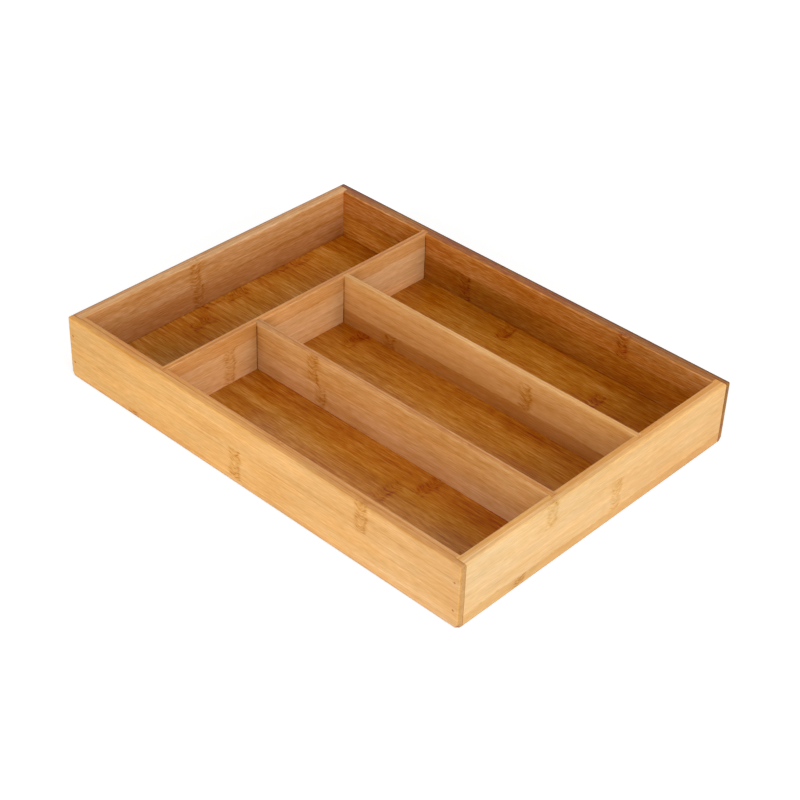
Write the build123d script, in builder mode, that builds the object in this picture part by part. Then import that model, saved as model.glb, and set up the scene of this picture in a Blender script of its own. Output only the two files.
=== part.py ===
from build123d import *
import os

# Bamboo cutlery tray: one short compartment across the left end, three long ones beside it.
# Millimetres. X runs along the tray, Y across it, Z up.
# The origin is on the table, under the middle of the tray.

# Compartments, clear between the boards
short_bay_width = 77.5
long_bay_length = 250.5
long_bay_width = 76.8
long_divider_names = ("front_divider", "rear_divider")

# Boards
wall_thickness = 8.5
wall_height = 47.0
divider_thickness = 5.0
floor_thickness = 4.0
floor_rise = 5.5  # underside of the floor above the table

# Joints cut in the boards
corner_lip = 4.0  # of a long wall, left over the end of a short wall
groove_depth = 3.0
wall_housing_depth = 3.0
cross_housing_depth = 2.0

# Clearances of the joints
glue_gap = 0.1  # behind the end of a divider and round the rim of the floor
close_play = 0.1  # beside a divider, at the top of its housing
housing_play = 0.5  # beside a divider, lower down, where the housing is eased for the glue
close_height = 3.0  # of the top of a housing, which shows
floor_play = 0.2  # over the floor in its grooves

# Eased edges
round_over_radius = 1.2
seam_chamfer = 0.4
bottom_corner_ease = 3.0  # along the bottom edges, where the tray's bottom corners are sanded off
bottom_corner_ease_height = 4.0

# Pin nails through the corners
brad_heights = (12.5, 33.5)
brad_length = 18.0
brad_radius = 0.6
brad_head_radius = 0.8
brad_head_height = 0.6
brad_point_length = 1.5
brad_sink = 0.4  # of the head under the face of the wall
brad_clearance = 0.05

# Sizes that follow
long_divider_count = len(long_divider_names)
long_divider_pitch = long_bay_width + divider_thickness
inner_length = short_bay_width + divider_thickness + long_bay_length
inner_width = long_divider_count * long_divider_pitch + long_bay_width
tray_length = inner_length + 2 * wall_thickness
tray_width = inner_width + 2 * wall_thickness
short_wall_length = tray_width - 2 * corner_lip
floor_top = floor_rise + floor_thickness
divider_height = wall_height - floor_top
cross_divider_x = -inner_length / 2 + short_bay_width + divider_thickness / 2
long_bay_start = cross_divider_x + divider_thickness / 2
brad_hole_radius = brad_radius + brad_clearance
brad_hole_depth = brad_length + brad_sink - corner_lip + brad_clearance
housing_cuts = (
    (close_play, divider_height),
    (housing_play, divider_height - close_height),
)


def brad_planes(sides, ends, depth):
    """Planes square to the brads and facing out, at a depth under the long walls' faces."""
    return [
        Plane(
            origin=(
                end * (tray_length - wall_thickness) / 2,
                side * (tray_width / 2 - depth),
                height,
            ),
            x_dir=(0, 0, 1),
            z_dir=(0, side, 0),
        )
        for side in sides
        for end in ends
        for height in brad_heights
    ]


def bottom_corner_planes():
    """Planes that cut off the bottom corners of the tray, facing into it."""
    return [
        Plane(
            origin=(end * (tray_length / 2 - bottom_corner_ease), side * tray_width / 2, 0),
            z_dir=(
                -end / bottom_corner_ease,
                -side / bottom_corner_ease,
                1 / bottom_corner_ease_height,
            ),
        )
        for side in (-1, 1)
        for end in (-1, 1)
    ]


def short_wall(end):
    """The wall at the -X or the +X end, between the lips of the long walls."""
    with BuildPart() as wall:
        with BuildSketch(Plane.XZ) as short_wall_section:
            with Locations((end * (tray_length - wall_thickness) / 2, 0)):
                Rectangle(wall_thickness, wall_height, align=(Align.CENTER, Align.MIN))
        extrude(amount=short_wall_length / 2, both=True)
        add(rounded_block.part, mode=Mode.INTERSECT)
        # Eased ends, which leave a fine line at each corner joint
        chamfer(wall.faces().filter_by(Axis.Y).edges(), seam_chamfer)
        # Groove for the floor, run through because the lips hide its ends
        with BuildSketch(Plane.XY.offset(floor_rise)) as through_groove:
            Rectangle(inner_length + 2 * groove_depth, short_wall_length)
        extrude(amount=floor_thickness + floor_play, mode=Mode.SUBTRACT)
        with Locations(*brad_planes((-1, 1), (end,), corner_lip)):
            Hole(brad_hole_radius, brad_hole_depth)
    return wall.part


os.makedirs("parts", exist_ok=True)

# The glued-up tray as one block, rounded over along its outline and round the rims of its
# compartments. Every board is trimmed to it, so the roundings run on from board to board.
with BuildPart() as rounded_block:
    Box(tray_length, tray_width, wall_height, align=(Align.CENTER, Align.CENTER, Align.MIN))
    for plane in bottom_corner_planes():
        split(bisect_by=plane, keep=Keep.TOP)
    fillet(rounded_block.edges(), round_over_radius)
    with BuildSketch(Plane.XY.offset(floor_top)) as compartments:
        with Locations((-inner_length / 2, 0)):
            Rectangle(short_bay_width, inner_width, align=(Align.MIN, Align.CENTER))
        with Locations(((inner_length - long_bay_length) / 2, 0)):
            with GridLocations(0, long_divider_pitch, 1, long_divider_count + 1):
                Rectangle(long_bay_length, long_bay_width)
    extrude(amount=divider_height, mode=Mode.SUBTRACT)
    rims = rounded_block.faces().sort_by(Axis.Z)[-1].inner_wires()
    fillet([edge for rim in rims for edge in rim.edges()], round_over_radius)

# Front wall
with BuildPart() as front_wall:
    with BuildSketch(Plane.YZ) as long_wall_section:
        with Locations((-tray_width / 2, 0)):
            Rectangle(wall_thickness, wall_height, align=(Align.MIN, Align.MIN))
    extrude(amount=tray_length / 2, both=True)
    add(rounded_block.part, mode=Mode.INTERSECT)
    # Rabbets that take the ends of the short walls and leave the lips over them
    with BuildSketch() as corner_rabbets:
        with GridLocations(tray_length, 0, 2, 1):
            Rectangle(2 * wall_thickness, short_wall_length)
    extrude(amount=wall_height, mode=Mode.SUBTRACT)
    # Stopped groove for the floor
    with BuildSketch(Plane.XY.offset(floor_rise)) as stopped_groove:
        Rectangle(inner_length + 2 * groove_depth, inner_width + 2 * groove_depth)
    extrude(amount=floor_thickness + floor_play, mode=Mode.SUBTRACT)
    # Housing for the end of the cross divider, open at the top
    for play, height in housing_cuts:
        with BuildSketch(Plane.XY.offset(floor_top)) as cross_divider_housing:
            with Locations((cross_divider_x + play / 2, 0)):
                Rectangle(divider_thickness + play, inner_width + 2 * wall_housing_depth)
        extrude(amount=height, mode=Mode.SUBTRACT)
    with Locations(*brad_planes((-1,), (-1, 1), 0)):
        CounterBoreHole(
            radius=brad_hole_radius,
            counter_bore_radius=brad_head_radius + brad_clearance,
            counter_bore_depth=brad_sink + brad_head_height,
            depth=wall_thickness,
        )
front_wall.part.label = "front_wall"
export_step(front_wall.part, "parts/front_wall.step")

# Rear wall, the mirror image of the front one
with BuildPart() as rear_wall:
    mirror(front_wall.part, about=Plane.XZ)
rear_wall.part.label = "rear_wall"
export_step(rear_wall.part, "parts/rear_wall.step")

# Left wall, between the lips of the long walls
with BuildPart() as left_wall:
    add(short_wall(-1))
left_wall.part.label = "left_wall"
export_step(left_wall.part, "parts/left_wall.step")

# Right wall, with housings for the lengthwise dividers
with BuildPart() as right_wall:
    add(short_wall(1))
    for play, height in housing_cuts:
        with BuildSketch(Plane.XY.offset(floor_top)) as long_divider_housings:
            with Locations((inner_length / 2, -play / 2)):
                with GridLocations(0, long_divider_pitch, 1, long_divider_count):
                    Rectangle(2 * wall_housing_depth, divider_thickness + play)
        extrude(amount=height, mode=Mode.SUBTRACT)
right_wall.part.label = "right_wall"
export_step(right_wall.part, "parts/right_wall.step")

# Floor panel, resting on the lower sides of the grooves
with BuildPart() as floor_panel:
    with BuildSketch(Plane.XY.offset(floor_rise)) as floor_outline:
        Rectangle(
            inner_length + 2 * (groove_depth - glue_gap),
            inner_width + 2 * (groove_depth - glue_gap),
        )
    extrude(amount=floor_thickness)
floor_panel.part.label = "floor_panel"
export_step(floor_panel.part, "parts/floor_panel.step")

# Cross divider, standing on the floor, with both ends housed in the long walls
with BuildPart() as cross_divider:
    with BuildSketch(Plane.XY.offset(floor_top)) as cross_divider_outline:
        with Locations((cross_divider_x, 0)):
            Rectangle(divider_thickness, inner_width + 2 * (wall_housing_depth - glue_gap))
    extrude(amount=divider_height)
    add(rounded_block.part, mode=Mode.INTERSECT)
    # Shallow housings for the lengthwise dividers
    for play, height in housing_cuts:
        with BuildSketch(Plane.XY.offset(floor_top)) as shallow_housings:
            with Locations((long_bay_start, -play / 2)):
                with GridLocations(0, long_divider_pitch, 1, long_divider_count):
                    Rectangle(2 * cross_housing_depth, divider_thickness + play)
        extrude(amount=height, mode=Mode.SUBTRACT)
cross_divider.part.label = "cross_divider"
export_step(cross_divider.part, "parts/cross_divider.step")

# Lengthwise dividers, from the cross divider into the right wall
for row, name in enumerate(long_divider_names):
    row_y = (row - (long_divider_count - 1) / 2) * long_divider_pitch
    with BuildPart() as long_divider:
        with BuildSketch(Plane.XY.offset(floor_top)) as long_divider_outline:
            with Locations((long_bay_start - cross_housing_depth + glue_gap, row_y)):
                Rectangle(
                    long_bay_length + cross_housing_depth + wall_housing_depth - 2 * glue_gap,
                    divider_thickness,
                    align=(Align.MIN, Align.CENTER),
                )
        extrude(amount=divider_height)
        add(rounded_block.part, mode=Mode.INTERSECT)
    long_divider.part.label = name
    export_step(long_divider.part, f"parts/{name}.step")

# One pin nail, its head at the origin and its point down
with BuildPart() as brad:
    with BuildSketch(Plane.XZ) as brad_half_section:
        with BuildLine():
            Polyline(
                (0, 0),
                (brad_head_radius, 0),
                (brad_head_radius, -brad_head_height),
                (brad_radius, -brad_head_height),
                (brad_radius, brad_point_length - brad_length),
                (0, -brad_length),
                close=True,
            )
        make_face()
    revolve(axis=Axis.Z)

# The nails of the four corners, sunk under the faces of the long walls
with BuildPart() as corner_brads:
    with Locations(*brad_planes((-1, 1), (-1, 1), brad_sink)):
        add(brad.part)
corner_brads.part.label = "corner_brads"
export_step(corner_brads.part, "parts/corner_brads.step")
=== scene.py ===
import math
from types import SimpleNamespace

import bpy
from mathutils import Matrix, Vector


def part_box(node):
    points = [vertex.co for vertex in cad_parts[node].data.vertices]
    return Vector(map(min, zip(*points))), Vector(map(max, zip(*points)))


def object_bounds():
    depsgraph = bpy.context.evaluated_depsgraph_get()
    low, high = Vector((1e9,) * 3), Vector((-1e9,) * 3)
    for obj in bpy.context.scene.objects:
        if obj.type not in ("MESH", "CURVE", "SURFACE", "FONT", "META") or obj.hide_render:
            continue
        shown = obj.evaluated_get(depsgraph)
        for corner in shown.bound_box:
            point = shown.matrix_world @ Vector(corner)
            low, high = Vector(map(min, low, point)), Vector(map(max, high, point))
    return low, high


# Looks of a bamboo cutlery tray: each board gets a material of its own, built up from glued bamboo strips,
# and around the tray are a pale floor, soft lights and the camera.
# Metres in the row frame: X along the tray, Y across it, Z up. Names that end in _mm hold millimetres.
# Colours and lightness, and what each mark adds to them, are in levels of 255 of the picture.

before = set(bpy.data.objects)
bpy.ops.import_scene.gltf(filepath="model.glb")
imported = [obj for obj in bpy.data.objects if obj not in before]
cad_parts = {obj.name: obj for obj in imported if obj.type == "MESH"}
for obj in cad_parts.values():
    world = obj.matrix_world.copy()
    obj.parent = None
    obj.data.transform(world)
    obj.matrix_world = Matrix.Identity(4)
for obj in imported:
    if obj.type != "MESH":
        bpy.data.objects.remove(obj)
cad_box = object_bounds()

# Camera
camera_azimuth = 42.229  # degrees; 0 looks along +Y
camera_elevation = 36.215
camera_roll = 2.271
camera_distance = 1.24680
camera_aim = (0.001845, 0.005476, 0.003844)
camera_lens_mm = 84.448
camera_sensor_mm = 36.0

# Stage and light
floor_size = 6.0
floor_grey = 0.5
floor_glow = 0.72  # what the camera sees of the floor near the tray besides the light that falls on it
far_glow = 0.90  # the same, far from the tray
glow_reach = (0.25, 0.90)  # where the glow starts to rise and where it is full, from the tray's middle
ambient_strength = 0.30

# Square lamps that face the tray. Azimuth is 0 on the -Y side and 90 on the +X side, in degrees.
softboxes = {
    "front_softbox": dict(azimuth=5, elevation=19, distance=2.5, size=1.56, watts=39.0),
    "right_softbox": dict(azimuth=82, elevation=19, distance=2.5, size=1.56, watts=39.0),
    "top_softbox": dict(azimuth=165, elevation=60, distance=2.5, size=1.2, watts=7.8),
}

# Units
mm_per_metre = 1000.0
half_length_mm = cad_box[1][0] * mm_per_metre
levels = 255.0
display_gamma = 2.2
ramp_middle = 0.5  # ramps hold numbers from 0 to 1, so values that can be negative are stored about this
knuckle_range_mm = 400.0  # the places of knuckles that a ramp can hold

# Red, green and blue that each kind of change adds
light_shift = (0.78, 1.03, 1.4)  # for a level of lightness
deep_shift = (0.6, 1.15, 1.5)  # for a level of a whole strip's lightness
warm_shift = (2.0, -6.0, 9.0)  # for a unit of warmth
hue_shift = (1.0, 0.1, -1.0)  # for a unit of hue
near_sheen_tint = (1.0, 2.0, 10.0)  # painted sheen on the floor panel, beside the board at the near side of a compartment
joint_shade_tint = (0.0, -9.0, -14.0)  # painted shade in the joint line beside a divider

# Grain, from fine to broad: the size of a mark along the grain, across it and through the thickness, the
# detail and roughness of its noise, and the lightness that it adds
grain_layers = {
    "pores": dict(sizes_mm=(7.0, 0.58, 0.58), detail=1.0, roughness=0.5, strength=13.0),
    "fibres": dict(sizes_mm=(42.0, 0.52, 0.52), detail=2.0, roughness=0.6, strength=12.0),
    "streaks": dict(sizes_mm=(100.0, 1.15, 1.15), detail=2.0, roughness=0.5, strength=8.0),
    "broad_streaks": dict(sizes_mm=(200.0, 3.6, 3.6), detail=1.0, roughness=0.5, strength=9.0),
    "clouds": dict(sizes_mm=(50.0, 13.0, 13.0), detail=1.0, roughness=0.5, strength=11.0),
}
hue_cloud_sizes_mm = (34.0, 8.0, 20.0)
end_pore_sizes_mm = (6.0, 0.8, 0.8)
edge_line_sizes_mm = (70.0, 8.0, 0.8)  # lines through the thickness, which show on the long edges
long_line_sizes_mm = (160.0, 1.5, 1.5)

# Lightness that each other mark adds where it is full. The bands, dark flecks and scars of the knuckles are
# scaled by a board's marks as well.
added = SimpleNamespace(
    knuckle_band=-10.0,
    knuckle_stain=-11.0,
    dark_flecks=-36.0,
    light_flecks=12.0,
    scar=-24.0,
    seam=-14.0,
    end_pores=-18.0,
    # painted shade on the downward-facing roundings at the bottom
    underside_shade=-80.0,
    # darkening inside a joint, partly as glue and partly as painted shade in the gap
    glue_and_shade=-58.0,
    corner=-45.0,
    layer_line=-16.0,
    layer_line_on_edge=-18.0,
    floor_feet_shade=-14.0,
    # painted shade on the cross divider's face in the corners beside the dividers
    front_joint_nook_shade=-11.0,
    rear_joint_nook_shade=-5.0,
)

# Share of the colour lost to painted shade in the narrow dark places
foot_shade_share = 0.22  # painted shade along the lower edge of each wall
left_arris_shade_share = 0.22  # painted shade on the upright rounding at the left end of the front wall, which turns away from the lamps
joint_shade_share = 0.05  # painted shade in the joint line beside a divider
left_wall_shade_share = 0.05  # painted shade on the lower part of the left wall's inner face

# Surface
lacquer_roughness = 0.25
bump_strength = 0.35
bump_distance = 0.00012
relief = SimpleNamespace(fibres=-0.2, pores=-0.1, dark_flecks=-0.5, seam=-0.8)
roughened = SimpleNamespace(fibres=0.03, knuckle_band=0.06, end=0.15)
dark_fleck_dullness = 0.6

# What a board looks like, unless it says otherwise below
usual_looks = dict(
    lean=(0, 0, 0),  # what the + end gains over the middle, in red, green and blue
    contrast=1.0,  # scales the grain
    pores=1.4,  # scales the pores in it
    marks=0.9,  # scales the knuckles
    hue=1.5,  # scales the clouds of colour
    long_lines=None,  # (place where long lines start to show, place where they are full, lightness they add)
    cast=None,  # a soft tint: (place along the grain, width, what it adds)
    edge=(0, 0, 0),  # what the long edges gain
    edge_lines=11.0,  # lightness that the lines on them add
    end_grain=(-24, -20, -19),  # what the ends gain
    arris=0.0,  # painted shade that the top roundings lose where they face +X or -Y, and painted light that they gain where they face -X or +Y
    far_arris=None,  # a top arris darkened with painted shade where it turns away from the lamps: (axis, side, start and full, both in from the face, share lost)
    outer=(0, 0, 0),  # painted light that the face beyond that arris gains, as it gets none of the bounce light inside the tray that the board's colour was matched with
    shades=[],  # painted shade: (place along the grain, width, share of the colour lost, height under which it is so); a negative share is painted light
    roughness=0.40,
    shine=0.5,  # level of the reflections
    gloss=0.25,  # weight of the lacquer over them
    layer_share=None,  # share of the thickness in the layer at the low side, for a board with two layers
    shown_layer=0,  # the layer that strips gives: 0 at the low side, 1 at the high side
    layer_line=1.0,  # strength of the seam between the layers
    back_strips=None,  # the other layer's strips, where they aren't made up from strips
)

# Each board. Grain, across and depth are the axes that the fibres follow, that the strips lie side by side
# along and that goes through the thickness. The first seam between strips is at first_edge_mm, the next ones
# are pitch_mm apart, and they stray by wander_mm. Strips go from low to high across the board, and each has
# its lightness, its warmth (more is redder) and the place of its knuckle along the grain, in millimetres.
board_looks = {
    "front_wall": dict(
        grain="X", across="Z", depth="Y", colour=(229, 168, 86), lean=(-2, 2, 14),
        contrast=0.85, pores=1.15, marks=0.95, hue=4.0,
        edge=(-4, -14, -17), edge_lines=19.0, arris=9.0,
        shades=[(-175, 60, 0.045, 60), (175, 40, 0.03, 60)],
        first_edge_mm=4.0, pitch_mm=22.0, wander_mm=0.5, layer_share=0.55,
        strips=[(-2, 0.1, -112), (2, 0.0, -13), (0, 0.0, 96)],
    ),
    "rear_wall": dict(
        grain="X", across="Z", depth="Y", colour=(171, 102, 32), lean=(6, 7, 9),
        contrast=0.95, pores=2.0, shine=0.32, gloss=0.05,
        edge=(-8, -10, -23), end_grain=(-28, -8, 0), arris=-11.0,
        far_arris=("Y", 1, 3.0, 0.6, 0.42), outer=(46, 40, 34),
        shades=[
            (-25, 80, 0.10, 30), (-130, 35, -0.08, 24), (150, 70, -0.07, 24),
            (175, 3, -0.09, 24), (110, 60, 0.06, 60), (110, 60, -0.07, 38),
        ],
        long_lines=(-80.0, -95.0, 13.0), cast=(-140.0, 40.0, (2, 4, 12)),
        first_edge_mm=8.0, pitch_mm=21.5, wander_mm=0.6, layer_share=0.54,
        strips=[(-6, -0.6, -150), (-8, -0.6, -44), (3, 0.2, 94)],
    ),
    "left_wall": dict(
        grain="Y", across="Z", depth="X", colour=(207, 149, 92),
        pores=1.5, marks=0.8, edge=(16, 14, 5), far_arris=("X", -1, 2.6, 0.3, 0.33),
        shades=[(120, 30, 0.06, 26), (10, 50, 0.03, 60), (10, 50, -0.03, 38)],
        long_lines=(60.0, 95.0, 6.0),
        first_edge_mm=5.0, pitch_mm=22.5, wander_mm=0.6, layer_share=0.41, shown_layer=1,
        strips=[(-12, 0.2, -22), (-9, 0.1, -22), (-2, 0.0, -24)],
    ),
    "right_wall": dict(
        grain="Y", across="Z", depth="X", colour=(233, 183, 111), lean=(-2, -11, -23),
        contrast=0.6, marks=0.7, hue=4.0, edge=(10, -2, -6), arris=3.0,
        first_edge_mm=8.0, pitch_mm=22.4, wander_mm=1.4, layer_share=0.53, shown_layer=1, layer_line=0.0,
        strips=[(-23, -0.4, -75), (-3, 0.0, 15), (2, 0.0, -48.5)],
    ),
    "cross_divider": dict(
        grain="Y", across="Z", depth="X", colour=(216, 161, 102),
        contrast=0.8, edge=(0, -20, -58), arris=12.0,
        shades=[
            (-43, 14, 0.14, 46), (-28, 16, -0.05, 60), (38, 14, 0.13, 46), (80, 45, -0.05, 17),
            (120, 14, 0.10, 46),
        ],
        first_edge_mm=15.5, pitch_mm=21.0, wander_mm=0.8, layer_share=0.56, shown_layer=1, layer_line=0.8,
        strips=[(3, 0.2, -67.7), (10, 0.1, -67.7), (-8, 0.0, -150)],
    ),
    "front_divider": dict(
        grain="X", across="Z", depth="Y", colour=(205, 149, 86), lean=(5, 8, 10),
        contrast=0.9, marks=0.85, edge=(7, -11, -28), arris=17.0,
        shades=[(-84, 25, 0.08, 50), (60, 200, -0.03, 37)],
        first_edge_mm=6.0, pitch_mm=20.5, wander_mm=0.6, layer_share=0.52, layer_line=0.8,
        strips=[(6, 0.1, 90), (10, 0.2, -24), (0, 0.0, -31)],
    ),
    "rear_divider": dict(
        grain="X", across="Z", depth="Y", colour=(208, 152, 88),
        contrast=0.68, marks=0.85, edge=(26, 17, 4), arris=14.0,
        shades=[(-84, 20, 0.02, 50), (0, 400, 0.06, 20.5)],
        first_edge_mm=20.5, pitch_mm=20.5, wander_mm=0.8, layer_share=0.52, layer_line=0.6,
        back_strips=[(-8, 0.1, 60), (0, 0.1, 60), (0, 0.0, 60)],
        strips=[(-17, 0.1, -39.6), (0, 0.1, 80.5), (0, 0.0, -140)],
    ),
    "floor_panel": dict(
        grain="X", across="Y", depth="Z", colour=(205, 129, 33), lean=(2, 2, 0),
        contrast=1.35, pores=1.5, marks=0.95, roughness=0.25, shine=0.32, gloss=0.0,
        shades=[(-112, 45, 0.11, 200), (-78, 14, 0.06, 200), (-32, 28, 0.05, 200)],
        long_lines=(-84.0, -95.0, 9.0),
        first_edge_mm=-125.5, pitch_mm=20.5, wander_mm=0.4,
        strips=[
            (0, 0.1, 20), (-3, 0.2, -110), (0, 0.1, 140), (3, 0.0, 67), (-2, 0.2, 82.5),
            (-4, 0.1, -151), (2, 0.3, -166), (0, 0.0, -161), (1, 0.2, -62.7), (4, 0.1, -165),
            (-5, 0.2, -162), (-4, 0.0, 97.7), (-1, 0.1, 3.7), (0, 0.2, -60),
        ],
    ),
}
boards = {name: SimpleNamespace(**(usual_looks | looks)) for name, looks in board_looks.items()}


class Graph:
    """Adds nodes to a node tree. A value given to a node is a number, a colour or another node's socket."""

    def __init__(self, tree):
        self.tree = tree

    def node(self, kind, **settings):
        made = self.tree.nodes.new(kind)
        for name, value in settings.items():
            setattr(made, name, value)
        return made

    def feed(self, socket, value):
        if isinstance(value, bpy.types.NodeSocket):
            self.tree.links.new(value, socket)
        else:
            socket.default_value = value

    def math(self, operation, *values):
        made = self.node("ShaderNodeMath", operation=operation)
        for socket, value in zip(made.inputs, values):
            self.feed(socket, value)
        return made.outputs[0]

    def scaled(self, value, factor, offset=0.0):
        return self.math("MULTIPLY_ADD", value, factor, offset)

    def past(self, value, place):
        """How far a value lies past a place."""
        return self.scaled(value, 1.0, -place)

    def rest(self, share):
        """What a share leaves of 1."""
        return self.scaled(share, -1.0, 1.0)

    def total(self, *values):
        result = values[0]
        for value in values[1:]:
            result = self.math("ADD", result, value)
        return result

    def product(self, *values):
        result = values[0]
        for value in values[1:]:
            result = self.math("MULTIPLY", result, value)
        return result

    def split(self, vector):
        """The X, Y and Z of a vector, by name."""
        made = self.node("ShaderNodeSeparateXYZ")
        self.feed(made.inputs[0], vector)
        return made.outputs

    def vector(self, x, y, z):
        made = self.node("ShaderNodeCombineXYZ")
        for socket, value in zip(made.inputs, (x, y, z)):
            self.feed(socket, value)
        return made.outputs[0]

    def noise(self, place, sizes, detail=2.0, roughness=0.5):
        """Noise about zero, mostly from -1 to 1, with blobs of the given sizes in the three directions."""
        made = self.node("ShaderNodeTexNoise")
        parts = (self.math("DIVIDE", value, size) for value, size in zip(place, sizes))
        self.feed(made.inputs["Vector"], self.vector(*parts))
        made.inputs["Scale"].default_value = 1.0
        made.inputs["Detail"].default_value = detail
        made.inputs["Roughness"].default_value = roughness
        return self.scaled(made.outputs["Fac"], 4.0, -2.0)

    def hump(self, distance, width):
        """1 where distance is 0, falling to 0 about two widths away on either side."""
        share = self.math("DIVIDE", distance, width)
        return self.math("EXPONENT", self.scaled(self.math("MULTIPLY", share, share), -1.0))

    def rise(self, value, low, high):
        """0 below low and 1 above high, with a smooth rise between."""
        made = self.node("ShaderNodeMapRange", interpolation_type="SMOOTHSTEP")
        self.feed(made.inputs["Value"], value)
        made.inputs["From Min"].default_value = low
        made.inputs["From Max"].default_value = high
        return made.outputs["Result"]

    def fall(self, value, low, high):
        """1 below low and 0 above high, with a smooth fall between."""
        return self.rise(self.scaled(value, -1.0), -high, -low)

    def steps(self, value, colours):
        """Picks one of the colours as value goes from 0 to 1, with no blending."""
        made = self.node("ShaderNodeValToRGB")
        ramp = made.color_ramp
        ramp.interpolation = "CONSTANT"
        while len(ramp.elements) < len(colours):
            ramp.elements.new(1.0)
        for index, colour in enumerate(colours):
            ramp.elements[index].position = index / len(colours)
            ramp.elements[index].color = (*colour, 1.0)
        self.feed(made.inputs["Fac"], value)
        parts = self.node("ShaderNodeSeparateColor")
        self.feed(parts.inputs[0], made.outputs["Color"])
        return parts.outputs

    def blend(self, factor, first, second):
        made = self.node("ShaderNodeMix", data_type="RGBA")
        self.feed(made.inputs["Factor"], factor)
        colours = [socket for socket in made.inputs if socket.type == "RGBA"]
        self.feed(colours[0], first)
        self.feed(colours[1], second)
        return next(socket for socket in made.outputs if socket.type == "RGBA")


def srgb(red, green, blue):
    """A colour given as 8-bit sRGB, as linear RGBA."""

    def linear(value):
        value /= levels
        return value / 12.92 if value <= 0.04045 else ((value + 0.055) / 1.055) ** 2.4

    return (linear(red), linear(green), linear(blue), 1.0)


def new_material(name):
    material = bpy.data.materials.new(name)
    material.use_nodes = True
    material.node_tree.nodes.clear()
    graph = Graph(material.node_tree)
    output = graph.node("ShaderNodeOutputMaterial")
    return material, graph, output


def reach_mm(node, axis):
    """The lowest and highest place of a node along an axis, in millimetres."""
    index = "XYZ".index(axis)
    return [corner[index] * mm_per_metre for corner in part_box(node)]


def open_range_mm(name):
    """The stretch of a board along its grain that lies between its neighbours' faces."""
    if name in ("front_divider", "rear_divider"):
        return reach_mm("cross_divider", "X")[1], reach_mm("right_wall", "X")[0]
    if boards[name].grain == "X":
        return reach_mm("left_wall", "X")[1], reach_mm("right_wall", "X")[0]
    return reach_mm("front_wall", "Y")[1], reach_mm("rear_wall", "Y")[0]


def board_place(graph, name, seed):
    """Where a point lies in its board, in millimetres, and which way its surface faces."""
    board = boards[name]
    board_step_mm = 31.0  # moves each board's noise away from the others'
    coordinates = graph.node("ShaderNodeTexCoord")
    place = graph.split(coordinates.outputs["Object"])
    normal = graph.split(coordinates.outputs["Normal"])
    depth_mm = graph.scaled(place[board.depth], mm_per_metre)
    return SimpleNamespace(
        place=place,
        normal=normal,
        up=graph.math("MAXIMUM", normal["Z"], 0.0),
        along=graph.scaled(place[board.grain], mm_per_metre),
        across=graph.scaled(place[board.across], mm_per_metre),
        depth_mm=depth_mm,
        depth=graph.past(depth_mm, -board_step_mm * seed),
    )


def board_sides(graph, name, spot):
    """How much of a point is on an end, on a long edge, on a rounding at the bottom that gets painted shade,
    inside a joint or on the seam at a corner, each from 0 to 1, and how much it faces +X and -Y on a top
    rounding."""
    skin_mm, sunk_mm = 0.1, 0.3  # how deep in a board its joints' surfaces start, and where they are full
    past_mm = 0.1  # how far past a board's open stretch they are full
    seam_mm, seam_blend_mm = 0.5, 0.2  # the seam's width, and the part of it in which it darkens
    board = boards[name]
    normal = spot.normal
    low_face, high_face = reach_mm(name, board.depth)
    low_end, high_end = open_range_mm(name)
    inside = graph.product(
        graph.rise(spot.depth_mm, low_face + skin_mm, low_face + sunk_mm),
        graph.fall(spot.depth_mm, high_face - sunk_mm, high_face - skin_mm),
    )
    past_ends = graph.math(
        "ADD",
        graph.fall(spot.along, low_end - past_mm, low_end),
        graph.rise(spot.along, high_end, high_end + past_mm),
    )
    # Inside a joint a board darkens, partly as glue and partly as painted shade in the gap
    if "divider" in name:
        glue_and_shade = graph.math("MAXIMUM", inside, past_ends)
    else:
        glue_and_shade = graph.product(inside, graph.rest(past_ends))
    not_top = graph.fall(normal["Z"], 0.0, 0.2)
    not_underside = graph.rise(normal["Z"], -0.95, -0.7)
    # A rounding at the bottom gets painted shade
    facing_down = graph.fall(normal["Z"], -0.6, -0.1)
    not_flat = graph.rise(normal["Z"], -0.97, -0.9)
    corner = 0.0
    if board.grain == "Y" and "wall" in name:
        seam_start = reach_mm(name, "Y")[1] - seam_mm
        corner = graph.rise(graph.math("ABSOLUTE", spot.along), seam_start, seam_start + seam_blend_mm)
    toward = graph.math("SUBTRACT", normal["X"], normal["Y"])
    return SimpleNamespace(
        end=graph.rise(graph.math("ABSOLUTE", normal[board.grain]), 0.35, 0.85),
        edge=graph.rise(graph.math("ABSOLUTE", normal[board.across]), 0.80, 0.97),
        underside_shade=graph.product(facing_down, not_flat),
        glue_and_shade=graph.product(glue_and_shade, not_top, not_underside),
        corner=corner,
        arris=graph.product(toward, spot.up, 2.0),  # 1 halfway round a rounding
    )


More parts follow.
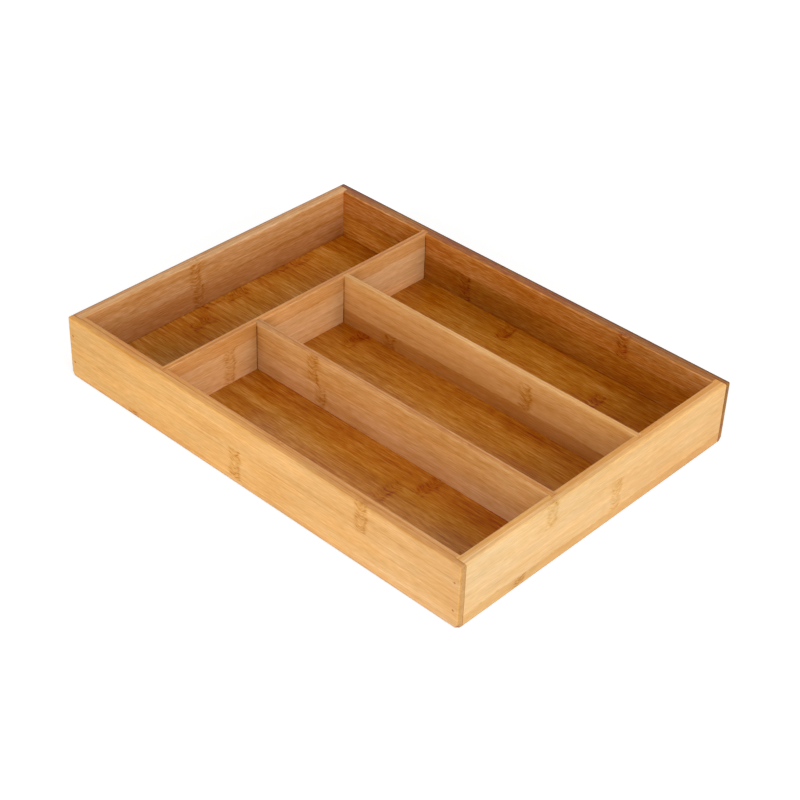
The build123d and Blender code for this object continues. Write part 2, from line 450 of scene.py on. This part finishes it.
def board_shade(graph, name, spot):
    """The share of a board's colour that is lost to painted shade by place, and how much of a point is in a
    divider's joint line and on the face beyond a darkened arris."""
    blend_mm = 1.0  # on either side of the height where a shade ends
    inner_mm = 1.0  # how far from the left wall's inner face its shade starts
    low_mm, high_mm = 10.0, 36.0  # the height under which that shade is full, and where it ends
    outer_start_mm, outer_full_mm = 0.25, 0.05  # how far in the outer face starts, and where it is full
    foot_mm, above_foot_mm = 0.6, 1.4  # the height under which a wall's foot is dark, and where that ends
    arris_full_mm, arris_end_mm = 0.4, 1.1  # the same for the left arris, in from the tray's end
    joint_width_mm = 0.7
    board = boards[name]
    shade, joint, outer = 0.0, 0.0, 0.0
    # Soft patches of painted shade, and of painted light where the share is negative
    for place_mm, width_mm, share, top_mm in board.shades:
        under_top = graph.fall(spot.across, top_mm - blend_mm, top_mm + blend_mm)
        near = graph.hump(graph.past(spot.along, place_mm), width_mm)
        shade = graph.total(shade, graph.scaled(graph.product(near, under_top), share))
    if name == "floor_panel":
        shade = graph.product(shade, spot.up)
    # Painted shade on the lower part of the left wall's inner face
    if name == "left_wall":
        inner_face = reach_mm(name, "X")[1]
        inner = graph.rise(spot.depth_mm, inner_face - inner_mm, inner_face)
        low = graph.fall(spot.across, low_mm, high_mm)
        shade = graph.total(shade, graph.scaled(graph.product(inner, low), left_wall_shade_share))
    # Painted shade on the top arris that turns away from the lamps
    if board.far_arris is not None:
        axis, side, start_mm, full_mm, share = board.far_arris
        out_mm = graph.scaled(spot.place[axis], side * mm_per_metre)
        face_mm = max(side * edge_mm for edge_mm in reach_mm(name, axis))
        band = graph.rise(out_mm, face_mm - start_mm, face_mm - full_mm)
        facing_up = graph.rise(spot.normal["Z"], 0.5, 0.72)
        shade = graph.total(shade, graph.scaled(graph.product(band, facing_up), share))
        # The outer face beyond that arris, which gets painted light
        outer = graph.rise(out_mm, face_mm - outer_start_mm, face_mm - outer_full_mm)
    # Painted shade along the foot of each wall
    if "wall" in name:
        foot = graph.fall(spot.across, foot_mm, above_foot_mm)
        shade = graph.total(shade, graph.scaled(foot, foot_shade_share))
    # Painted shade on the front wall's upright rounding at the tray's left end
    if name == "front_wall":
        left_arris_shade = graph.fall(spot.along, arris_full_mm - half_length_mm, arris_end_mm - half_length_mm)
        shade = graph.total(shade, graph.scaled(left_arris_shade, left_arris_shade_share))
    # Painted shade in the joint line on a divider's face beside the cross divider
    if "divider" in name:
        joint_line = graph.hump(graph.past(spot.along, open_range_mm(name)[0]), joint_width_mm)
        not_top = graph.fall(spot.normal["Z"], 0.2, 0.6)
        joint = graph.product(joint_line, not_top)
        shade = graph.total(shade, graph.scaled(joint, joint_shade_share))
    return SimpleNamespace(lost=shade, joint=joint, outer=outer)


def hidden_strips(strips):
    """The strips of a board's other layer: the same ones in reverse, with their knuckles further on."""
    shift_mm = 130.0
    half_mm = knuckle_range_mm / 2
    return [
        (lightness, warmth, (knuckle_mm + shift_mm + half_mm) % knuckle_range_mm - half_mm)
        for lightness, warmth, knuckle_mm in reversed(strips)
    ]


def in_ramp(lightness, warmth, knuckle_mm):
    """A strip's three values as a colour for a ramp."""
    return (
        ramp_middle + lightness / levels,
        ramp_middle + warmth,
        ramp_middle + knuckle_mm / knuckle_range_mm,
    )


def board_strips(graph, name, spot):
    """The strip that a point is in, its lightness, warmth and knuckle, and the lines between strips."""
    line_width_mm = 0.4
    stray_sizes_mm, fine_stray_sizes_mm, fine_stray_share = (26.0, 9.0, 9.0), (3.0, 0.8, 0.8), 0.35
    dash_sizes_mm = (16.0, 6.0, 6.0)
    board = boards[name]
    count = len(board.strips)
    straight = (spot.along, spot.across, spot.depth)
    stray = graph.total(
        graph.noise(straight, stray_sizes_mm, detail=1.0),
        graph.scaled(graph.noise(straight, fine_stray_sizes_mm, detail=0.0), fine_stray_share),
    )
    strayed = graph.total(spot.across, graph.scaled(stray, board.wander_mm))
    strip_place = graph.scaled(strayed, 1 / board.pitch_mm, 1 - board.first_edge_mm / board.pitch_mm)
    seam_distance = graph.scaled(graph.math("PINGPONG", strip_place, 0.5), board.pitch_mm)
    index = graph.math("FLOOR", strip_place)

    # Row is the middle of the strip's stretch of the ramp, and the layer at the high side has the upper half
    if board.layer_share is None:
        layer_line = 0.0
        rows = board.strips
        row = graph.scaled(index, 1 / count, 0.5 / count)
    else:
        other = board.back_strips or hidden_strips(board.strips)
        rows = board.strips + other if board.shown_layer == 0 else other + board.strips
        low_face, high_face = reach_mm(name, board.depth)
        layer_edge = low_face + board.layer_share * (high_face - low_face)
        from_layer_edge = graph.past(spot.depth_mm, layer_edge)
        layer_line = graph.scaled(graph.hump(from_layer_edge, line_width_mm), board.layer_line)
        layer = graph.math("GREATER_THAN", from_layer_edge, 0.0)
        row = graph.total(graph.scaled(index, 0.5 / count, 0.25 / count), graph.scaled(layer, 0.5))
    lightness, warmth, knuckle = graph.steps(row, [in_ramp(*strip) for strip in rows])[:3]
    dashes = graph.rise(graph.noise(straight, dash_sizes_mm, detail=1.0), -0.5, 0.5)
    return SimpleNamespace(
        row=row,
        lightness=graph.scaled(lightness, levels, -ramp_middle * levels),
        warmth=graph.past(warmth, ramp_middle),
        knuckle_mm=graph.scaled(knuckle, knuckle_range_mm, -ramp_middle * knuckle_range_mm),
        seam=graph.product(graph.hump(seam_distance, line_width_mm), dashes),
        layer_line=layer_line,
    )


def knuckle_marks(graph, spot, sides, strip):
    """A knuckle: a band across the strip where fibres rise, break up and darken, with a scar at one side."""
    strip_step = 100.0  # moves each strip's noise away from the others'
    sway_sizes, sway_mm = (1.0, 7.0, 7.0), 1.6
    bend_mm, bend_width_mm = 1.6, 3.0
    full_mm, end_mm = 3.2, 6.6  # how far from the band's middle it is full and where it ends
    fleck_sizes_mm = (3.6, 1.0, 1.0)
    scar_place_mm, scar_width_mm, scar_break_sizes = 3.4, 0.9, (1.0, 3.0, 3.0)
    stain_width_mm, stain_sizes_mm = 12.0, (9.0, 5.0, 5.0)
    lost_on_edges = 0.7
    in_strip = (graph.scaled(strip.row, strip_step), spot.across, spot.depth)
    sway = graph.noise(in_strip, sway_sizes, detail=3.0)
    from_knuckle = graph.total(spot.along, graph.scaled(strip.knuckle_mm, -1.0), graph.scaled(sway, sway_mm))
    on_face = graph.scaled(sides.edge, -lost_on_edges, 1.0)
    band = graph.product(graph.fall(graph.math("ABSOLUTE", from_knuckle), full_mm, end_mm), on_face)
    bend = graph.scaled(graph.hump(from_knuckle, bend_width_mm), bend_mm)
    bent = (spot.along, graph.math("ADD", spot.across, bend), spot.depth)
    broken = graph.noise(bent, fleck_sizes_mm)
    scar_line = graph.hump(graph.past(from_knuckle, scar_place_mm), scar_width_mm)
    scar_breaks = graph.rise(graph.noise(in_strip, scar_break_sizes), -0.5, 0.5)
    stain_noise = graph.noise((spot.along, spot.across, spot.depth), stain_sizes_mm, detail=1.0)
    patches = graph.rise(stain_noise, -0.3, 0.8)
    return SimpleNamespace(
        bent=bent,
        band=band,
        dark_flecks=graph.product(band, graph.rise(broken, -0.2, 0.9)),
        light_flecks=graph.product(band, graph.fall(broken, -0.9, -0.1)),
        scar=graph.product(scar_line, scar_breaks, on_face),
        stain=graph.product(graph.hump(from_knuckle, stain_width_mm), patches),
    )


def feet_lines(graph, spot):
    """Painted shade: dark lines on the floor panel along the boards' feet. The two long dividers mirror each
    other.
    """
    line_width_mm = 0.5

    def line(value, place_mm):
        return graph.hump(graph.past(value, place_mm), line_width_mm)

    from_middle = graph.math("ABSOLUTE", spot.across)
    beside = graph.math("GREATER_THAN", spot.along, reach_mm("cross_divider", "X")[1])
    dividers = graph.total(*(line(from_middle, face) for face in reach_mm("rear_divider", "Y")))
    short_bay_feet = (*reach_mm("cross_divider", "X"), reach_mm("left_wall", "X")[1])
    return graph.total(
        graph.product(beside, dividers),
        *(line(spot.along, face) for face in short_bay_feet),
        line(spot.along, reach_mm("right_wall", "X")[0]),
        line(from_middle, reach_mm("rear_wall", "Y")[0]),
    )


def floor_nooks(graph, spot):
    """How near a point of the floor panel is to the board at the far side of its compartment, for painted
    shade at its foot, and to the one at the near side, for a painted sheen, each from 0 to 1."""
    start_mm, full_mm = 24.0, 2.0  # how far from the board the nook starts, and where it is full
    beside = graph.math("GREATER_THAN", spot.along, reach_mm("cross_divider", "X")[1])
    far, near = 0.0, 0.0
    for name in ("front_divider", "rear_divider", "rear_wall"):
        face = reach_mm(name, "Y")[0]
        before = graph.math("LESS_THAN", spot.across, face + full_mm)
        part = graph.product(graph.rise(spot.across, face - start_mm, face - full_mm), before)
        far = graph.total(far, graph.product(part, beside) if "divider" in name else part)
    for name in ("front_wall", "front_divider", "rear_divider"):
        face = reach_mm(name, "Y")[1]
        behind = graph.math("GREATER_THAN", spot.across, face - full_mm)
        part = graph.product(graph.fall(spot.across, face + full_mm, face + start_mm), behind)
        near = graph.total(near, graph.product(part, beside))
    return far, near


def joint_nooks(graph, spot):
    """How near a point of the cross divider's face is to the front and to the rear divider let into it, each
    from 0 to 1, for painted shade in those corners."""
    width_mm = 5.0
    start_mm, full_mm = 0.5, 0.2  # how far in from the face the nook starts, and where it is full
    face_mm = reach_mm("cross_divider", "X")[1]
    on_face = graph.rise(spot.depth_mm, face_mm - start_mm, face_mm - full_mm)
    return [
        graph.product(graph.hump(graph.past(spot.along, reach_mm(name, "Y")[0]), width_mm), on_face)
        for name in ("front_divider", "rear_divider")
    ]


def grain_lightness(graph, board, spot, knuckle, layers):
    """The lightness that the grain adds, from all its layers."""
    strengths = {key: layer["strength"] for key, layer in grain_layers.items()}
    strengths["pores"] *= board.pores
    grain = graph.total(*(graph.scaled(layers[key], strengths[key]) for key in layers))
    if board.long_lines is not None:
        start_mm, full_mm, strength = board.long_lines
        way = 1.0 if full_mm > start_mm else -1.0
        here = graph.rise(graph.scaled(spot.along, way), way * start_mm, way * full_mm)
        long_lines = graph.noise(knuckle.bent, long_line_sizes_mm, detail=1.0)
        grain = graph.total(grain, graph.product(here, graph.scaled(long_lines, strength)))
    return graph.scaled(grain, board.contrast)


def mark_lightness(graph, board, spot, sides, strip, knuckle):
    """The lightness that knuckles, seams, edges, ends and joints add."""
    straight = (spot.along, spot.across, spot.depth)
    end_pores = graph.rise(graph.noise(straight, end_pore_sizes_mm, detail=1.0), 0.2, 1.0)
    edge_lines = graph.noise(straight, edge_line_sizes_mm, detail=1.0) if board.depth != "Z" else 0.0
    lightness = graph.total(
        graph.scaled(knuckle.band, added.knuckle_band * board.marks),
        graph.scaled(knuckle.stain, added.knuckle_stain),
        graph.scaled(knuckle.dark_flecks, added.dark_flecks * board.marks),
        graph.scaled(knuckle.light_flecks, added.light_flecks),
        graph.scaled(knuckle.scar, added.scar * board.marks),
        graph.scaled(strip.seam, added.seam),
        graph.product(sides.edge, graph.scaled(edge_lines, board.edge_lines)),
        graph.product(sides.end, graph.scaled(end_pores, added.end_pores)),
        graph.scaled(sides.underside_shade, added.underside_shade),
        graph.scaled(sides.glue_and_shade, added.glue_and_shade),
        graph.scaled(sides.corner, added.corner),
    )
    if board.layer_share is not None:
        line_lightness = graph.scaled(sides.edge, added.layer_line_on_edge, added.layer_line)
        lightness = graph.total(lightness, graph.product(strip.layer_line, line_lightness))
    return lightness


def nook_lightness(graph, name, spot):
    """The lightness that painted shade adds in a board's nooks and along its neighbours' feet, and how much
    of a point is in a nook at the near side of a compartment's floor, where a sheen is painted."""
    if name == "cross_divider":
        front_nook, rear_nook = joint_nooks(graph, spot)
        lightness = graph.total(
            graph.scaled(front_nook, added.front_joint_nook_shade),
            graph.scaled(rear_nook, added.rear_joint_nook_shade),
        )
        return lightness, 0.0
    if name == "floor_panel":
        far_nook, near_sheen_place = floor_nooks(graph, spot)
        marks = graph.product(graph.total(feet_lines(graph, spot), far_nook), spot.up)
        return graph.scaled(marks, added.floor_feet_shade), graph.product(near_sheen_place, spot.up)
    return 0.0, 0.0


def board_colour(graph, board, lit, changes):
    """A board's colour, linear: its own with each change added by its share, times what painted shade leaves
    of it.
    """

    def as_shown(channel):
        return graph.math("MAXIMUM", graph.scaled(graph.product(channel, lit), 1 / levels), 0.0)

    channels = [
        graph.total(board.colour[index], *(graph.scaled(share, change[index]) for share, change in changes))
        for index in range(3)
    ]
    linear = graph.node("ShaderNodeGamma")
    graph.feed(linear.inputs["Color"], graph.vector(*(as_shown(channel) for channel in channels)))
    linear.inputs["Gamma"].default_value = display_gamma
    return linear.outputs[0]


def lacquered(graph, board, colour, height, roughness, dullness):
    """A satin surface under a thin lacquer, both weaker where it is dull."""
    bump = graph.node("ShaderNodeBump")
    bump.inputs["Strength"].default_value = bump_strength
    bump.inputs["Distance"].default_value = bump_distance
    graph.feed(bump.inputs["Height"], height)
    surface = graph.node("ShaderNodeBsdfPrincipled")
    graph.feed(surface.inputs["Base Color"], colour)
    graph.feed(surface.inputs["Roughness"], roughness)
    graph.feed(surface.inputs["Normal"], bump.outputs[0])
    glossy = graph.math("MAXIMUM", graph.rest(dullness), 0.0)
    graph.feed(surface.inputs["Specular IOR Level"], graph.scaled(glossy, board.shine))
    graph.feed(surface.inputs["Coat Weight"], graph.scaled(glossy, board.gloss))
    surface.inputs["Coat Roughness"].default_value = lacquer_roughness
    return surface.outputs["BSDF"]


def bamboo(name, seed):
    """A board of bamboo strips, as a solid texture, so that faces, edges and ends agree with each other."""
    board = boards[name]
    material, graph, output = new_material(name + "_bamboo")
    spot = board_place(graph, name, seed)
    sides = board_sides(graph, name, spot)
    shade = board_shade(graph, name, spot)
    strip = board_strips(graph, name, spot)
    knuckle = knuckle_marks(graph, spot, sides, strip)
    layers = {
        key: graph.noise(knuckle.bent, layer["sizes_mm"], layer["detail"], layer["roughness"])
        for key, layer in grain_layers.items()
    }
    nook_shade, near_sheen_place = nook_lightness(graph, name, spot)
    lightness = graph.total(
        grain_lightness(graph, board, spot, knuckle, layers),
        mark_lightness(graph, board, spot, sides, strip, knuckle),
        nook_shade,
    )
    hue_clouds = graph.noise((spot.along, spot.across, spot.depth), hue_cloud_sizes_mm, detail=1.0)
    changes = [
        (lightness, light_shift),
        (strip.lightness, deep_shift),
        (graph.scaled(spot.along, 1 / half_length_mm), board.lean),
        (strip.warmth, warm_shift),
        (graph.scaled(hue_clouds, board.hue), hue_shift),
        (sides.edge, board.edge),
        # painted light and shade on the top roundings, by the way they face
        (graph.scaled(sides.arris, -board.arris), (1.0, 1.0, 1.0)),
        (shade.outer, board.outer),
        # painted sheen on the floor beside the near board
        (near_sheen_place, near_sheen_tint),
        (shade.joint, joint_shade_tint),
        (sides.end, board.end_grain),
    ]
    if board.cast is not None:
        place_mm, width_mm, tint = board.cast
        changes.append((graph.hump(graph.past(spot.along, place_mm), width_mm), tint))
    height = graph.total(
        graph.scaled(layers["fibres"], relief.fibres),
        graph.scaled(layers["pores"], relief.pores),
        graph.scaled(knuckle.dark_flecks, relief.dark_flecks),
        graph.scaled(strip.seam, relief.seam),
    )
    roughness = graph.total(
        board.roughness,
        graph.scaled(layers["fibres"], roughened.fibres),
        graph.scaled(knuckle.band, roughened.knuckle_band),
        graph.scaled(sides.end, roughened.end),
    )
    # Reflections are dulled on dark flecks and also where glue and painted shade lie
    dullness = graph.total(
        graph.scaled(knuckle.dark_flecks, dark_fleck_dullness), sides.glue_and_shade, shade.lost, shade.joint
    )
    colour = board_colour(graph, board, graph.rest(shade.lost), changes)
    graph.feed(output.inputs["Surface"], lacquered(graph, board, colour, height, roughness, dullness))
    return material


def dull_steel():
    """The heads of the pin nails: coppered steel, dulled by lacquer and dust."""
    copper, dust = srgb(184, 124, 74), srgb(216, 156, 98)
    speck_size = 0.0003
    roughness, roughness_change, metallic = 0.5, 0.1, 0.15
    material, graph, output = new_material("dull_steel")
    coordinates = graph.node("ShaderNodeTexCoord")
    place = graph.split(coordinates.outputs["Object"])
    specks = graph.noise(place, (speck_size, speck_size, speck_size), detail=3.0)
    surface = graph.node("ShaderNodeBsdfPrincipled")
    graph.feed(surface.inputs["Base Color"], graph.blend(graph.rise(specks, -0.2, 0.8), dust, copper))
    graph.feed(surface.inputs["Roughness"], graph.scaled(specks, roughness_change, roughness))
    surface.inputs["Metallic"].default_value = metallic
    graph.feed(output.inputs["Surface"], surface.outputs["BSDF"])
    return material


def dress(name, material):
    """Gives a CAD node its only material."""
    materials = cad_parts[name].data.materials
    materials.clear()
    materials.append(material)


def seen_or_mirrored(graph):
    """1 for rays from the camera and for reflections, 0 for light on the object."""
    path = graph.node("ShaderNodeLightPath")
    seen = graph.math("MAXIMUM", path.outputs["Is Camera Ray"], path.outputs["Is Glossy Ray"])
    return graph.math("MAXIMUM", seen, path.outputs["Is Transmission Ray"])


def make_floor():
    half = floor_size / 2
    corners = [(-half, -half, 0), (half, -half, 0), (half, half, 0), (-half, half, 0)]
    mesh = bpy.data.meshes.new("floor")
    mesh.from_pydata(corners, [], [(0, 1, 2, 3)])
    floor = bpy.data.objects.new("floor", mesh)
    bpy.context.scene.collection.objects.link(floor)
    material, graph, output = new_material("pale_floor")
    matte = graph.node("ShaderNodeBsdfDiffuse")
    matte.inputs["Color"].default_value = (floor_grey, floor_grey, floor_grey, 1.0)
    coordinates = graph.node("ShaderNodeTexCoord")
    distance = graph.node("ShaderNodeVectorMath", operation="LENGTH")
    graph.feed(distance.inputs[0], coordinates.outputs["Object"])
    far = graph.rise(distance.outputs["Value"], *glow_reach)
    glow = graph.node("ShaderNodeEmission")
    strength = graph.scaled(far, far_glow - floor_glow, floor_glow)
    graph.feed(glow.inputs["Strength"], graph.product(seen_or_mirrored(graph), strength))
    both = graph.node("ShaderNodeAddShader")
    graph.feed(both.inputs[0], matte.outputs[0])
    graph.feed(both.inputs[1], glow.outputs[0])
    graph.feed(output.inputs["Surface"], both.outputs[0])
    mesh.materials.append(material)


def make_world():
    """White to the camera and in reflections, and a weaker soft light on the object."""
    world = bpy.data.worlds.new("studio")
    bpy.context.scene.world = world
    world.use_nodes = True
    world.node_tree.nodes.clear()
    graph = Graph(world.node_tree)
    background = graph.node("ShaderNodeBackground")
    background.inputs["Color"].default_value = (1.0, 1.0, 1.0, 1.0)
    graph.feed(
        background.inputs["Strength"],
        graph.scaled(seen_or_mirrored(graph), 1.0 - ambient_strength, ambient_strength),
    )
    output = graph.node("ShaderNodeOutputWorld")
    graph.feed(output.inputs["Surface"], background.outputs[0])


def make_softbox(name, azimuth, elevation, distance, size, watts):
    """A square lamp that faces the tray."""
    turn, rise = math.radians(azimuth), math.radians(elevation)
    toward = Vector((math.sin(turn) * math.cos(rise), -math.cos(turn) * math.cos(rise), math.sin(rise)))
    lamp = bpy.data.lights.new(name, "AREA")
    lamp.shape = "SQUARE"
    lamp.size = size
    lamp.energy = watts
    holder = bpy.data.objects.new(name, lamp)
    holder.location = toward * distance
    holder.rotation_euler = toward.to_track_quat("Z", "Y").to_euler()
    bpy.context.scene.collection.objects.link(holder)


def make_camera():
    camera = bpy.data.cameras.new("camera")
    camera.lens = camera_lens_mm
    camera.sensor_width = camera_sensor_mm
    holder = bpy.data.objects.new("camera", camera)
    turn = (
        Matrix.Rotation(math.radians(camera_azimuth), 3, "Z")
        @ Matrix.Rotation(math.radians(90 - camera_elevation), 3, "X")
        @ Matrix.Rotation(math.radians(camera_roll), 3, "Z")
    )
    place = Vector(camera_aim) + camera_distance * turn.col[2]
    holder.matrix_world = Matrix.Translation(place) @ turn.to_4x4()
    bpy.context.scene.collection.objects.link(holder)
    bpy.context.scene.camera = holder


for seed, name in enumerate(boards):
    dress(name, bamboo(name, seed))
dress("corner_brads", dull_steel())
make_floor()
make_world()
for name, settings in softboxes.items():
    make_softbox(name, **settings)
make_camera()
bpy.context.scene.view_settings.view_transform = "Standard"
